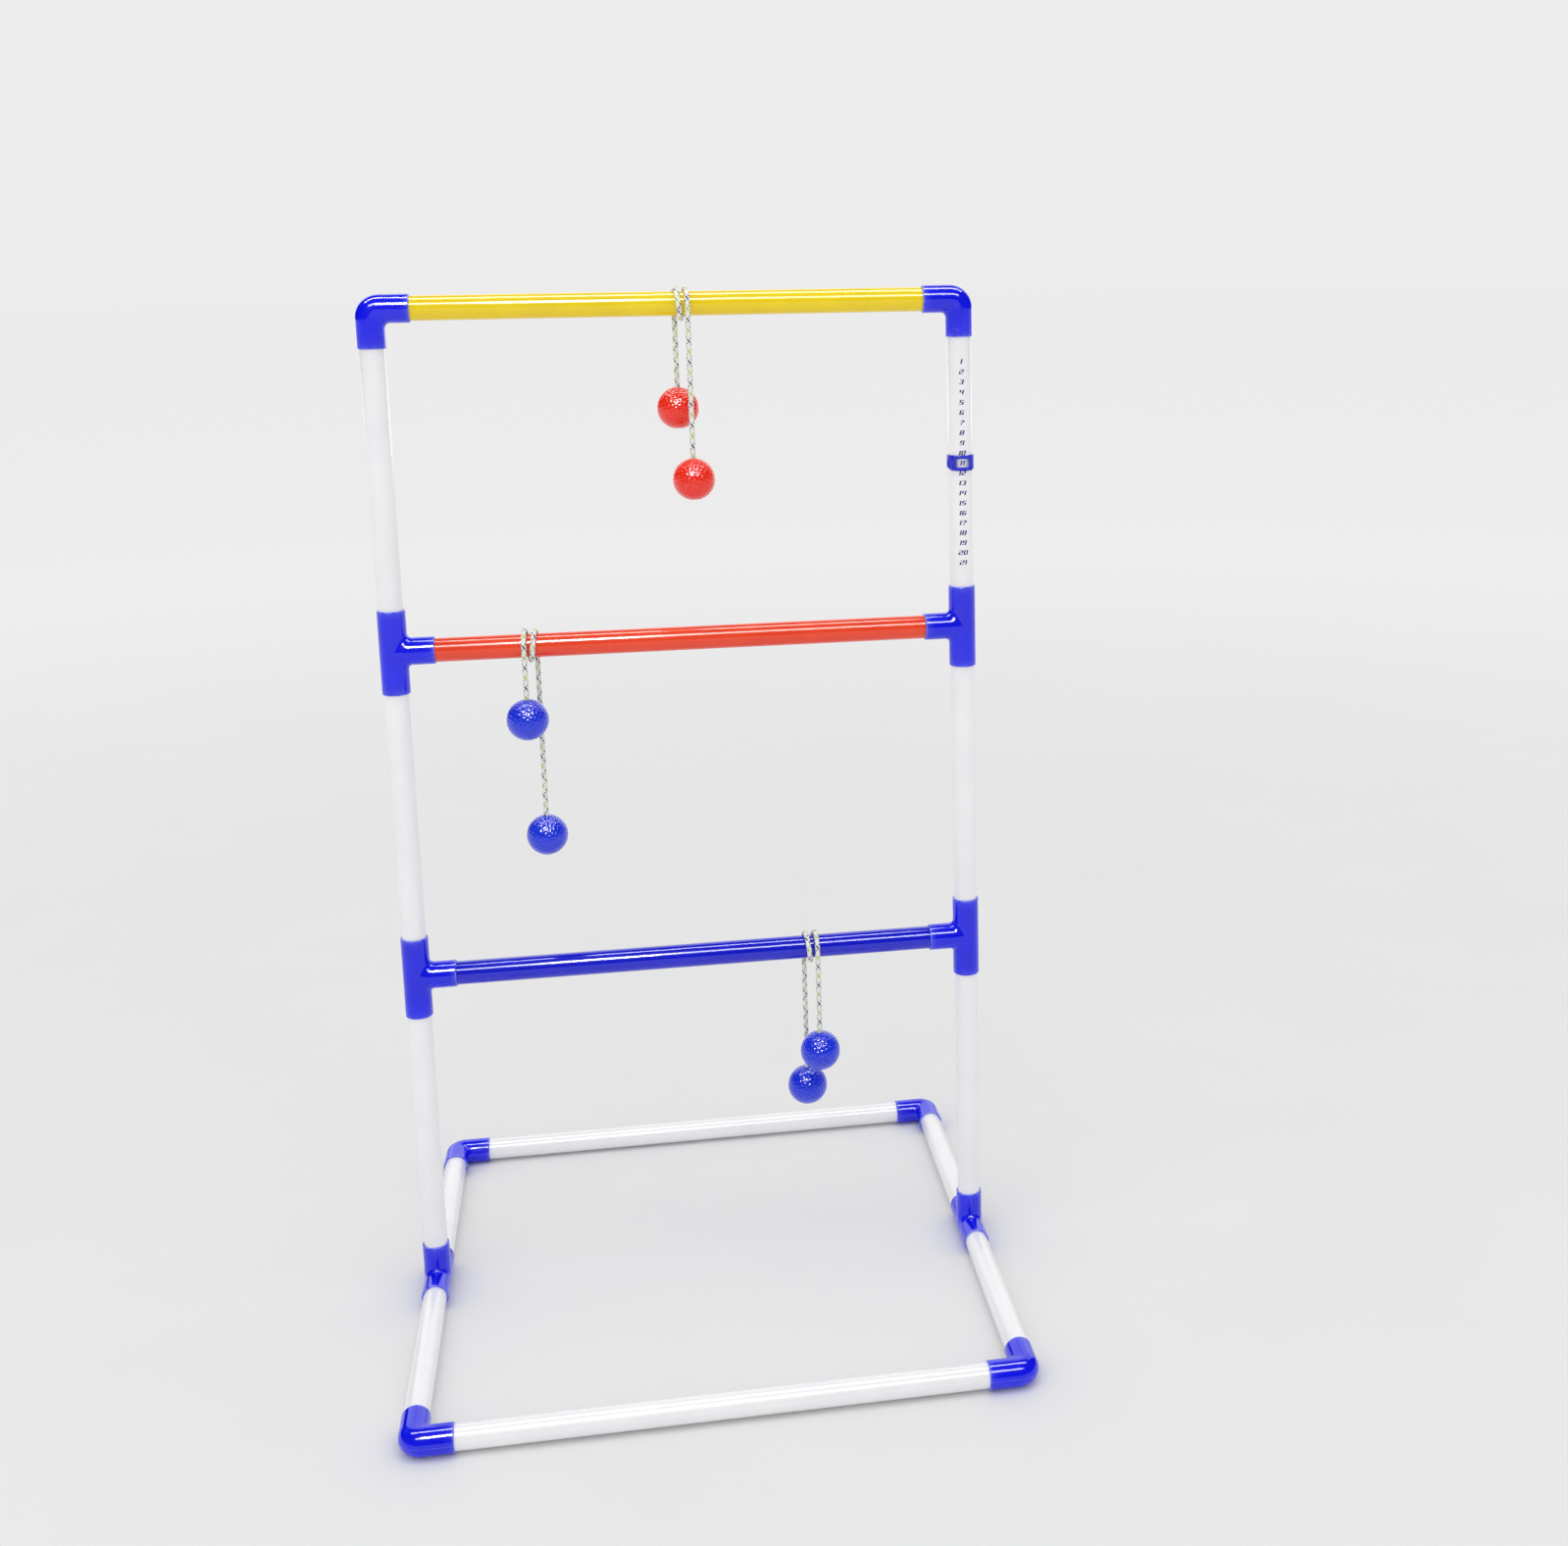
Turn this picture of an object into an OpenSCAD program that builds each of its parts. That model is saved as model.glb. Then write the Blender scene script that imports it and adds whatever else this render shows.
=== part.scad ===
// Ladder toss frame: a knock-down lawn game target of plastic tube pushed into
// moulded elbows and tees, with a score slider and three bolas hung on its rungs.
// +Z is up, X runs along the rungs, -Y is the front. The origin is on the ground,
// under the middle of the frame.

/* [Frame] */
// Distance between the axes of the two uprights
frame_w = 584; // [480:1:700]
// Distance between the axes of the front and rear base rails
base_d = 592; // [480:1:700]
// Tube that shows between two fittings on each stretch of upright
upright_gap = 260; // [230:1:320]

/* [Tube] */
// Outside diameter of every tube
tube_od = 24.5; // [20:0.5:28]
// Wall thickness of every tube
tube_wall = 1.6; // [1.2:0.1:2.4]

/* [Fittings] */
// Outside diameter of the moulded fittings
fitting_od = 28; // [26.5:0.1:28.5]
// How deep a socket is before its stop shoulder
socket_depth = 22; // [16:1:22]
// Clearance between a tube and its socket, on the diameter
socket_clearance = 0.1; // [0.06:0.02:0.2]
// From an elbow's corner to the end of its socket
elbow_leg = 38.5; // [36:0.5:45]
// From the middle of a tee to either end of its run
tee_run = 43; // [40:0.5:50]
// From the run's axis to the end of a tee's branch
tee_branch = 41; // [40:0.5:48]

/* [Score slider] */
// Distance between two score numbers printed on the upright
score_pitch = 10.45; // [9:0.05:11]
// From the end of the top elbow down to score number 1
score_first = 25; // [20:1:30]
// The score that the slider shows
score_shown = 11; // [1:1:21]
// Height of the slider
slider_h = 16; // [14:1:20]
// Outside diameter of the slider's sleeve
slider_od = 28.6; // [27.5:0.1:30]

/* [Bolas] */
// Diameter of a ball
ball_d = 42.67; // [40:0.01:46]
// Diameter of the rope
rope_d = 5; // [4:0.1:6]
// Distance the rope moves along a rung while it is wound round it
wrap_travel = 12; // [10:0.5:16]
// How far the two balls of one bola hang below the rung, added together
drop_sum = 280; // [260:1:300]

/* [Hidden] */

$fn = 64;
eps = 0.01;
BLUE = "#1a22e0";
WHITE = "#f3f3f5";
YELLOW = "#f0d614";
ORANGE_RED = "#ee4a28";
RED = "#ee2a16";
ROPE_WHITE = "#e9ead8";

// Frame, from the ground up
fitting_r = fitting_od / 2;
half_w = frame_w / 2;
half_d = base_d / 2;
base_z = fitting_r;
bottom_z = base_z + tee_branch + upright_gap + tee_run;
middle_z = bottom_z + 2 * tee_run + upright_gap;
top_z = middle_z + tee_run + upright_gap + elbow_leg;

// Fittings
socket_r = (tube_od + socket_clearance) / 2;
passage_r = 8.5;
bend_r = 9;
rim_chamfer = 0.8;
seat_gap = 0.5;
tube_in_socket = socket_depth - seat_gap;

// Score slider: a sleeve that snaps round the tube, with a raised bezel round its window
sleeve_in_r = tube_od / 2 + 0.2;
sleeve_out_r = slider_od / 2;
slot_w = 14;
sleeve_chamfer = 0.4;
corner_cut_w = 3.6;
corner_cut_h = 3.2;
bezel_w = 20;
bezel_h = 14;
bezel_corner = 3;
bezel_proud = 0.8;
window_w = 13.5;
window_h = 9;
slider_z = top_z - elbow_leg - score_first - (score_shown - 1) * score_pitch;

// Bolas: rope wound one and a half turns round a rung, a ball on each end
rope_r = rope_d / 2;
rope_gap = 0.35;
wrap_r = tube_od / 2 + rope_gap + rope_r;
wrap_angle = 540;
wrap_steps = 36;
rope_sides = 10;
ball_r = ball_d / 2;
bore_r = rope_r + 0.3;
knot_r = 4.6;
knot_h = 9;
pocket_r = knot_r + 0.4;
pocket_h = 14;
strand_points = [0.25, 0.5, 0.75];

// Each bola: x of the front strand, way the turns run along X, drop of the front ball
TOP_BOLA = [15, -1, 175];
MIDDLE_BOLA = [-163, 1, 74];
BOTTOM_BOLA = [127, -1, 114];

// ---------------------------------------------------------------- tubes

// Tube along +Z that starts at the origin
module tube(length) {
    difference() {
        cylinder(r = tube_od / 2, h = length);
        translate([0, 0, -eps])
            cylinder(r = tube_od / 2 - tube_wall, h = length + 2 * eps);
    }
}

// Tube along X, centred, seated in a fitting at both ends
module cross_tube(fitting_reach) {
    length = frame_w - 2 * fitting_reach + 2 * tube_in_socket;
    translate([-length / 2, 0, 0]) rotate([0, 90, 0]) tube(length);
}

// One stretch of upright, above the fitting that ends at the height z_from
module upright_tube(side, z_from) {
    color(WHITE)
        translate([side * half_w, 0, z_from - tube_in_socket])
            tube(upright_gap + 2 * tube_in_socket);
}

// Base tube on one side, from the base tee to the front or rear elbow
module base_tube(side, end) {
    length = half_d - tee_run - elbow_leg + 2 * tube_in_socket;
    color(WHITE)
        translate([side * half_w, end * (tee_run - tube_in_socket), base_z])
            rotate([-end * 90, 0, 0]) tube(length);
}

module rung(z, fitting_reach, tint) {
    color(tint) translate([0, 0, z]) cross_tube(fitting_reach);
}

module rail(end) {
    color(WHITE) translate([0, end * half_d, base_z]) cross_tube(elbow_leg);
}

// ------------------------------------------------------------- fittings

// Outside of one socket along +Z, from z_from to a chamfered rim at z_end
module socket_body(z_from, z_end) {
    translate([0, 0, z_from])
        cylinder(r = fitting_r, h = z_end - rim_chamfer - z_from);
    translate([0, 0, z_end - rim_chamfer])
        cylinder(r1 = fitting_r, r2 = fitting_r - rim_chamfer, h = rim_chamfer);
}

// Socket bore with its stop shoulder, and the passage behind it from z_from
module socket_hole(z_from, z_end) {
    translate([0, 0, z_end - socket_depth]) cylinder(r = socket_r, h = socket_depth + eps);
    translate([0, 0, z_from]) cylinder(r = passage_r, h = z_end - socket_depth - z_from + eps);
}

// Quarter turn of a round bar in the XZ plane, its outer side at bend_r + r
module quarter_bend(r) {
    translate([bend_r, 0, bend_r])
        rotate([90, 0, 0])
            rotate_extrude(angle = 90, start = 180)
                intersection() {
                    translate([bend_r, 0]) circle(r = r);
                    translate([0, -2 * r]) square(4 * r);
                }
}

// Elbow with its corner at the origin and its legs along +X and +Z
module elbow() {
    difference() {
        union() {
            quarter_bend(fitting_r);
            socket_body(bend_r, elbow_leg);
            rotate([0, 90, 0]) socket_body(bend_r, elbow_leg);
        }
        quarter_bend(passage_r);
        socket_hole(bend_r - eps, elbow_leg);
        rotate([0, 90, 0]) socket_hole(bend_r - eps, elbow_leg);
    }
}

// Tee with its run along Z, centred, and its branch along +X
module tee() {
    difference() {
        union() {
            socket_body(0, tee_run);
            mirror([0, 0, 1]) socket_body(0, tee_run);
            rotate([0, 90, 0]) socket_body(0, tee_branch);
        }
        socket_hole(-eps, tee_run);
        mirror([0, 0, 1]) socket_hole(-eps, tee_run);
        rotate([0, 90, 0]) socket_hole(0, tee_branch);
    }
}

// Elbow at the top of an upright: legs down and inwards
module top_elbow(side) {
    color(BLUE)
        translate([side * half_w, 0, top_z])
            mirror([side > 0 ? 1 : 0, 0, 0]) mirror([0, 0, 1]) elbow();
}

// Elbow at a corner of the base: legs inwards along X and Y, flat on the ground
module base_elbow(side, end) {
    color(BLUE)
        translate([side * half_w, end * half_d, base_z])
            mirror([side > 0 ? 1 : 0, 0, 0]) mirror([0, end > 0 ? 1 : 0, 0])
                rotate([-90, 0, 0]) elbow();
}

module rung_tee(side, z) {
    color(BLUE)
        translate([side * half_w, 0, z]) mirror([side > 0 ? 1 : 0, 0, 0]) tee();
}

// Tee in the middle of a base side: run along Y, branch up
module base_tee(side) {
    color(BLUE)
        translate([side * half_w, 0, base_z])
            rotate([90, 0, 0]) rotate([0, 0, 90]) tee();
}

// --------------------------------------------------------- score slider

// Outline of the bezel, its two lower corners cut off
module bezel_outline() {
    w = bezel_w / 2;
    h = bezel_h / 2;
    polygon([
        [-w + bezel_corner, -h], [w - bezel_corner, -h], [w, -h + bezel_corner],
        [w, h], [-w, h], [-w, -h + bezel_corner]
    ]);
}

// Outside of the sleeve, centred on its height, with chamfered rims
module sleeve_body() {
    straight = slider_h - 2 * sleeve_chamfer;
    translate([0, 0, -slider_h / 2])
        cylinder(r1 = sleeve_out_r - sleeve_chamfer, r2 = sleeve_out_r, h = sleeve_chamfer);
    translate([0, 0, -straight / 2])
        cylinder(r = sleeve_out_r, h = straight);
    translate([0, 0, straight / 2])
        cylinder(r1 = sleeve_out_r, r2 = sleeve_out_r - sleeve_chamfer, h = sleeve_chamfer);
}

// Takes a lower corner of the slider off from front to back. side is -1 for left, 1 for right
module corner_cut(side) {
    edge = side * sleeve_out_r;
    bottom = -slider_h / 2;
    rotate([90, 0, 0])
        translate([0, 0, -fitting_od])
            linear_extrude(2 * fitting_od)
                polygon([
                    [edge - 2 * side * corner_cut_w, bottom - corner_cut_h],
                    [edge + side * corner_cut_w, bottom - corner_cut_h],
                    [edge + side * corner_cut_w, bottom + 2 * corner_cut_h]
                ]);
}

module slider_clip() {
    color(BLUE)
        translate([half_w, 0, slider_z])
            difference() {
                union() {
                    sleeve_body();
                    rotate([90, 0, 0])
                        linear_extrude(sleeve_out_r + bezel_proud) bezel_outline();
                }
                translate([0, 0, -slider_h]) cylinder(r = sleeve_in_r, h = 2 * slider_h);
                translate([-slot_w / 2, 0, -slider_h]) cube([slot_w, fitting_od, 2 * slider_h]);
                translate([-window_w / 2, -fitting_od, -window_h / 2])
                    cube([window_w, fitting_od, window_h]);
                for (side = [-1, 1]) corner_cut(side);
            }
}

// ---------------------------------------------------------------- bolas

function ease(t) = t * t * (3 - 2 * t);

// Drops of the front and the rear ball of a bola
function drops(bola) = [bola[2], drop_sum - bola[2]];

// x of the rear strand
function rear_x(bola) = bola[0] + bola[1] * wrap_travel;

// Bottom end of a strand, where the rope meets its stopper knot
function rope_end(drop) = -drop - ball_r + pocket_h;

// Points down the middle of a rope, the rung's axis at the origin: up in front,
// round the rung over the top, and down behind
function rope_route(bola) =
    let (d = drops(bola), low_front = rope_end(d[0]), low_rear = rope_end(d[1]))
    concat(
        [[bola[0], -wrap_r, low_front]],
        [for (t = strand_points) [bola[0], -wrap_r, low_front * (1 - t)]],
        [for (i = [0 : wrap_steps])
            let (a = wrap_angle * i / wrap_steps)
            [bola[0] + bola[1] * wrap_travel * ease(i / wrap_steps),
             -wrap_r * cos(a), wrap_r * sin(a)]],
        [for (t = strand_points) [rear_x(bola), wrap_r, low_rear * t]],
        [[rear_x(bola), wrap_r, low_rear]]
    );

function unit(v) = v / norm(v);

// Direction of a route at each of its points, level ends to keep the end faces flat
function heading(route, i) =
    i == 0 ? unit(route[1] - route[0])
    : i == len(route) - 1 ? unit(route[i] - route[i - 1])
    : unit(unit(route[i + 1] - route[i]) + unit(route[i] - route[i - 1]));

// Ring of points square to the route: one axis stays as near X as it can
function ring(route, i) =
    let (t = heading(route, i),
         side = unit([1, 0, 0] - ([1, 0, 0] * t) * t),
         up = cross(t, side))
    [for (k = [0 : rope_sides - 1])
        let (a = 360 * k / rope_sides)
        route[i] + rope_r * (cos(a) * side + sin(a) * up)];

// Rope as one closed tube swept along its route
module rope(bola, z) {
    route = rope_route(bola);
    n = len(route);
    points = [for (i = [0 : n - 1]) each ring(route, i)];
    walls = [for (i = [0 : n - 2], k = [0 : rope_sides - 1])
        let (a = i * rope_sides + k, b = i * rope_sides + (k + 1) % rope_sides)
        [a, a + rope_sides, b + rope_sides, b]];
    first = [for (k = [0 : rope_sides - 1]) k];
    last = [for (k = [rope_sides - 1 : -1 : 0]) (n - 1) * rope_sides + k];
    color(ROPE_WHITE)
        translate([0, 0, z]) polyhedron(points, concat([first], walls, [last]));
}

// Puts a ball or its knot at the end of a strand; end is -1 in front, 1 behind
module at_ball(bola, z, end) {
    x = end < 0 ? bola[0] : rear_x(bola);
    drop = end < 0 ? drops(bola)[0] : drops(bola)[1];
    translate([x, end * wrap_r, z - drop]) children();
}

// Ball with a hole for the rope and a pocket below for its knot
module ball(bola, z, end, tint) {
    color(tint)
        at_ball(bola, z, end)
            difference() {
                sphere(r = ball_r);
                cylinder(r = bore_r, h = ball_r + eps);
                translate([0, 0, -ball_r]) cylinder(r = bore_r, h = ball_r + eps);
                translate([0, 0, -ball_r - eps]) cylinder(r = pocket_r, h = pocket_h + eps);
            }
}

// Stopper knot, pulled up against the floor of the ball's pocket
module knot(bola, z, end) {
    round_r = knot_h / 2;
    color(ROPE_WHITE)
        at_ball(bola, z, end)
            translate([0, 0, -ball_r + pocket_h - knot_h])
                rotate_extrude()
                    union() {
                        translate([0, 0]) square([knot_r - round_r, knot_h]);
                        intersection() {
                            translate([knot_r - round_r, round_r]) circle(r = round_r);
                            square([knot_r, knot_h]);
                        }
                    }
}

// ---------------------------------------------------------------- nodes

rung(top_z, elbow_leg, YELLOW);  // top_rung
rung(middle_z, tee_branch, ORANGE_RED);  // middle_rung
rung(bottom_z, tee_branch, BLUE);  // bottom_rung

upright_tube(-1, base_z + tee_branch);  // left_upright_lower
upright_tube(-1, bottom_z + tee_run);  // left_upright_middle
upright_tube(-1, middle_z + tee_run);  // left_upright_upper
upright_tube(1, base_z + tee_branch);  // right_upright_lower
upright_tube(1, bottom_z + tee_run);  // right_upright_middle
upright_tube(1, middle_z + tee_run);  // right_upright_upper

top_elbow(-1);  // left_top_elbow
top_elbow(1);  // right_top_elbow
rung_tee(-1, middle_z);  // left_middle_tee
rung_tee(1, middle_z);  // right_middle_tee
rung_tee(-1, bottom_z);  // left_bottom_tee
rung_tee(1, bottom_z);  // right_bottom_tee
base_tee(-1);  // left_base_tee
base_tee(1);  // right_base_tee

base_elbow(-1, -1);  // front_left_elbow
base_elbow(1, -1);  // front_right_elbow
base_elbow(-1, 1);  // rear_left_elbow
base_elbow(1, 1);  // rear_right_elbow

base_tube(-1, -1);  // left_front_base_tube
base_tube(-1, 1);  // left_rear_base_tube
base_tube(1, -1);  // right_front_base_tube
base_tube(1, 1);  // right_rear_base_tube
rail(-1);  // front_rail
rail(1);  // rear_rail

slider_clip();  // score_slider

rope(TOP_BOLA, top_z);  // top_bola_rope
ball(TOP_BOLA, top_z, -1, RED);  // top_bola_front_ball
ball(TOP_BOLA, top_z, 1, RED);  // top_bola_rear_ball
knot(TOP_BOLA, top_z, -1);  // top_bola_front_knot
knot(TOP_BOLA, top_z, 1);  // top_bola_rear_knot

rope(MIDDLE_BOLA, middle_z);  // middle_bola_rope
ball(MIDDLE_BOLA, middle_z, -1, BLUE);  // middle_bola_front_ball
ball(MIDDLE_BOLA, middle_z, 1, BLUE);  // middle_bola_rear_ball
knot(MIDDLE_BOLA, middle_z, -1);  // middle_bola_front_knot
knot(MIDDLE_BOLA, middle_z, 1);  // middle_bola_rear_knot

rope(BOTTOM_BOLA, bottom_z);  // bottom_bola_rope
ball(BOTTOM_BOLA, bottom_z, -1, BLUE);  // bottom_bola_front_ball
ball(BOTTOM_BOLA, bottom_z, 1, BLUE);  // bottom_bola_rear_ball
knot(BOTTOM_BOLA, bottom_z, -1);  // bottom_bola_front_knot
knot(BOTTOM_BOLA, bottom_z, 1);  // bottom_bola_rear_knot
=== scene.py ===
import math

import bmesh
import bpy
import numpy as np
from mathutils import Matrix, Vector


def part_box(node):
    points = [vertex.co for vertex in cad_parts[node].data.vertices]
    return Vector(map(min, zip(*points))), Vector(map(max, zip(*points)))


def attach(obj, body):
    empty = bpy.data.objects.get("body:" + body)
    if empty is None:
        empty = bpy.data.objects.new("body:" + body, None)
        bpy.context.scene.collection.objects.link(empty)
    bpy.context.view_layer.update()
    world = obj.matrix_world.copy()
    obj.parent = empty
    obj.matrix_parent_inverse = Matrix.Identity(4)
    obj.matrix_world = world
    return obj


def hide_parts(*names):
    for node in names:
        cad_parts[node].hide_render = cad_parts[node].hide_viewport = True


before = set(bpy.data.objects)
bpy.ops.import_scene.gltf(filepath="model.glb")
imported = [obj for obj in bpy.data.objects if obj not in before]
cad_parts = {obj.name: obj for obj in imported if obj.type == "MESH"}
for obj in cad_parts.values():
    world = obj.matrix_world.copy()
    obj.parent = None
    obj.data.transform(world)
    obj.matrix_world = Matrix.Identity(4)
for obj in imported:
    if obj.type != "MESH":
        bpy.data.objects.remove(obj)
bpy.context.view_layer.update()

# ------------------------------------------------------------------ camera
# A person looks at the frame from two metres away, at the height of the top rung, with the
# camera turned ten degrees to the right and dipped eleven. The shift keeps the whole frame in
# the picture without turning the camera any further.
MM = 0.001
eye = Vector((-70, -1932, 1087)) * MM
turn, dip, tilt = math.radians(9.95), math.radians(11.23), math.radians(-0.8)
ahead = Vector((math.sin(turn) * math.cos(dip), math.cos(turn) * math.cos(dip), -math.sin(dip)))
level = Vector((math.cos(turn), -math.sin(turn), 0))
above = level.cross(ahead)
across = math.cos(tilt) * level + math.sin(tilt) * above
upward = math.cos(tilt) * above - math.sin(tilt) * level

camera_data = bpy.data.cameras.new("camera")
camera_data.sensor_width = 36
camera_data.lens = 43.3
camera_data.shift_x = -0.10
camera_data.shift_y = -0.09
camera = bpy.data.objects.new("camera", camera_data)
bpy.context.scene.collection.objects.link(camera)
camera.matrix_world = Matrix.Translation(eye) @ Matrix((across, upward, -ahead)).transposed().to_4x4()
bpy.context.scene.camera = camera


# ------------------------------------------------------------- bola ropes
# Each bola is one length of 5 mm braided polypropylene cord, white with yellow-green and navy
# marker yarns. It is wound one and a half turns round its rung, so that one end hangs in front
# and the other behind, and each end goes down through a ball to a stopper knot.
class Wire:
    """An output socket of a material. Sums on it add Math nodes; node() adds any other node."""

    def __init__(self, tree, socket=None):
        self.tree = tree
        self.socket = socket

    def node(self, kind, settings=None, sockets=None, out=0):
        made = self.tree.nodes.new(kind)
        for name, value in (settings or {}).items():
            setattr(made, name, value)
        for name, value in (sockets or {}).items():
            if isinstance(value, Wire):
                self.tree.links.new(value.socket, made.inputs[name])
            else:
                made.inputs[name].default_value = value
        return Wire(self.tree, made.outputs[out])

    def maths(self, operation, *values):
        return self.node("ShaderNodeMath", {"operation": operation}, dict(enumerate(values)))

    def __add__(self, other):
        return self.maths("ADD", self, other)

    def __sub__(self, other):
        return self.maths("SUBTRACT", self, other)

    def __rsub__(self, other):
        return self.maths("SUBTRACT", other, self)

    def __mul__(self, other):
        return self.maths("MULTIPLY", self, other)

    __radd__ = __add__
    __rmul__ = __mul__

    def between(self, low, high):
        """0 below low, 1 above high, and smooth from one to the other."""
        return self.node("ShaderNodeMapRange", {"interpolation_type": "SMOOTHSTEP"},
                         {"Value": self, "From Min": low, "From Max": high})

    def tint(self, first, second):
        """A colour from first, where this is 0, to second, where it is 1."""
        return self.node("ShaderNodeMix", {"data_type": "RGBA"}, {0: self, 6: first, 7: second}, out=2)

    def noise(self, places, scale, detail=3.0):
        """Cloudy values round 0.5, scale of them to a metre."""
        return self.node("ShaderNodeTexNoise", {}, {"Vector": places, "Scale": scale, "Detail": detail})


def new_material(name, roughness, **constants):
    """A Principled material: its first wire, and a way to plug wires into the shader."""
    material = bpy.data.materials.new(name)
    material.use_nodes = True
    shader = material.node_tree.nodes["Principled BSDF"]
    shader.inputs["Roughness"].default_value = roughness
    for socket, value in constants.items():
        shader.inputs[socket.replace("_", " ")].default_value = value
    pen = Wire(material.node_tree)
    return material, pen, shader


def plug(shader, socket, wire):
    wire.tree.links.new(wire.socket, shader.inputs[socket])


def add_bump(pen, shader, height, strength, distance):
    plug(shader, "Normal", pen.node("ShaderNodeBump", {}, {
        "Height": height, "Strength": strength, "Distance": distance}))


def add_piece(name, points, faces, material, smooth=True):
    """A mesh object of those points, in metres, at the origin."""
    mesh = bpy.data.meshes.new(name)
    mesh.from_pydata([tuple(p) for p in points], [], faces)
    mesh.polygons.foreach_set("use_smooth", [smooth] * len(mesh.polygons))
    mesh.materials.append(material)
    piece = bpy.data.objects.new(name, mesh)
    bpy.context.scene.collection.objects.link(piece)
    return piece


def paint_points(piece, name, values):
    """Stores one colour, or one number from 0 to 1, for each point of a piece."""
    values = np.asarray(values, float)
    if values.ndim == 1:
        values = np.repeat(values[:, None], 3, axis=1)
    layer = piece.data.color_attributes.new(name, "FLOAT_COLOR", "POINT")
    layer.data.foreach_set("color", np.column_stack([values, np.ones(len(values))]).ravel())


def centre_of(node):
    low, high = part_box(node)
    return (Vector(low) + Vector(high)) / 2


rope_r = 2.5 * MM
rope_crown = 0.15 * MM
rung_r = 12.25 * MM
wrap_r = rung_r + 0.35 * MM + rope_r
wrap_turns = 1.5
wrap_travel = 12 * MM
ball_r = 42.67 / 2 * MM
pocket_h = 14 * MM
drop_sum = 280 * MM
# x of the front strand, way the turns run along X, drop of the front ball
bolas = {
    "top": (15 * MM, -1, 175 * MM),
    "middle": (-163 * MM, 1, 74 * MM),
    "bottom": (127 * MM, -1, 114 * MM),
}
rung_z = {name: centre_of(f"{name}_rung").z for name in bolas}

yarn_white = (0.90, 0.90, 0.86)
yarn_green = (0.42, 0.55, 0.02)
yarn_navy = (0.012, 0.016, 0.06)
carriers = 8
braid_pitch = 21 * MM
ring_step = 0.42 * MM
ring_points = 48


def strand_ends(name):
    """x, y and drop of the front and of the rear ball of a bola."""
    x, way, drop = bolas[name]
    return {"front": (x, -wrap_r, drop), "rear": (x + way * wrap_travel, wrap_r, drop_sum - drop)}


def rope_route(name, step):
    """Points down the middle of a rope, step apart, from the front knot to the rear one."""
    ends = strand_ends(name)
    turn_count = math.ceil(wrap_turns * 2 * math.pi * wrap_r / step)
    t = np.linspace(0, 1, turn_count + 1)
    angle = 2 * math.pi * wrap_turns * t
    ease = t * t * (3 - 2 * t)
    x0, x1 = ends["front"][0], ends["rear"][0]
    turns = np.column_stack([x0 + (x1 - x0) * ease, -wrap_r * np.cos(angle), wrap_r * np.sin(angle)])
    strands = []
    for end in ("front", "rear"):
        x, y, drop = ends[end]
        low = -drop - ball_r + pocket_h
        z = np.linspace(low, 0, math.ceil(-low / step) + 1)[:-1]
        strands.append(np.column_stack([np.full(len(z), x), np.full(len(z), y), z]))
    line = np.concatenate([strands[0], turns, strands[1][::-1]])
    line[:, 2] += rung_z[name]
    return line


def unit(v):
    return v / np.linalg.norm(v, axis=-1, keepdims=True)


def path_frames(line):
    """Heading of a path at each point, and two directions square to it that never twist."""
    heading = unit(np.gradient(line, axis=0))
    first = np.zeros_like(line)
    guess = np.array([1.0, 0.0, 0.0])
    for i, h in enumerate(heading):
        guess = unit(guess - h * (guess @ h))
        first[i] = guess
    return heading, first, np.cross(heading, first)


def braided_tube(name, line, radius, material, pitch, points_round, relief=0.42 * MM):
    """A tube along line whose surface is a diamond braid, with marker yarns painted in, and painted shade
    that darkens the grooves between the yarns.
    """
    lay_start = 0.01
    _, first, second = path_frames(line)
    along = np.concatenate([[0], np.cumsum(np.linalg.norm(np.diff(line, axis=0), axis=1))])
    theta = 2 * math.pi * np.arange(points_round) / points_round
    turn_part = carriers * theta[None, :] / (2 * math.pi)
    run_part = carriers * along[:, None] / pitch
    right_lay, left_lay = turn_part + run_part + lay_start, turn_part - run_part + lay_start
    ia, fa = np.floor(right_lay), right_lay % 1
    ib, fb = np.floor(left_lay), left_lay % 1
    over = (ia + ib) % 2 == 0
    # The upper yarn is round across its width and dips at both ends of its float
    wide, long = np.where(over, fa, fb), np.where(over, fb, fa)
    crown = np.sqrt(np.clip(1 - (2 * wide - 1) ** 2, 0, 1)) * (0.45 + 0.55 * np.sin(math.pi * long))
    r = radius - relief * (1 - crown)
    surface = line[:, None, :] + r[:, :, None] * (
        np.cos(theta)[None, :, None] * first[:, None, :] + np.sin(theta)[None, :, None] * second[:, None, :])
    n, m = len(line), points_round
    ring = np.arange(n * m).reshape(n, m)
    nxt = np.roll(ring, -1, axis=1)
    faces = np.stack([ring[:-1], nxt[:-1], nxt[1:], ring[1:]], axis=-1).reshape(-1, 4).tolist()
    points = np.concatenate([surface.reshape(-1, 3), line[[0, -1]]])
    faces += [(n * m, int(b), int(a)) for a, b in zip(ring[0], nxt[0], strict=True)]
    faces += [(n * m + 1, int(a), int(b)) for a, b in zip(ring[-1], nxt[-1], strict=True)]
    yarn = np.empty((n, m, 3))
    yarn[:] = yarn_white
    ka, kb = ia % carriers, ib % carriers
    yarn[over & (ka == 1)] = yarn_green
    yarn[over & (ka == 5)] = yarn_navy
    yarn[~over & (kb == 2)] = yarn_green
    yarn[~over & (kb == 6)] = yarn_navy
    piece = add_piece(name, points, faces, material)
    # Painted shade: the yarn colours are darkened where the braid dips, in the grooves between yarns.
    shade = 0.72 + 0.28 * crown
    yarn_with_painted_shade = yarn * shade[:, :, None]
    paint_points(piece, "yarn", np.concatenate([yarn_with_painted_shade.reshape(-1, 3), [yarn_white, yarn_white]]))
    return piece


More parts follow.
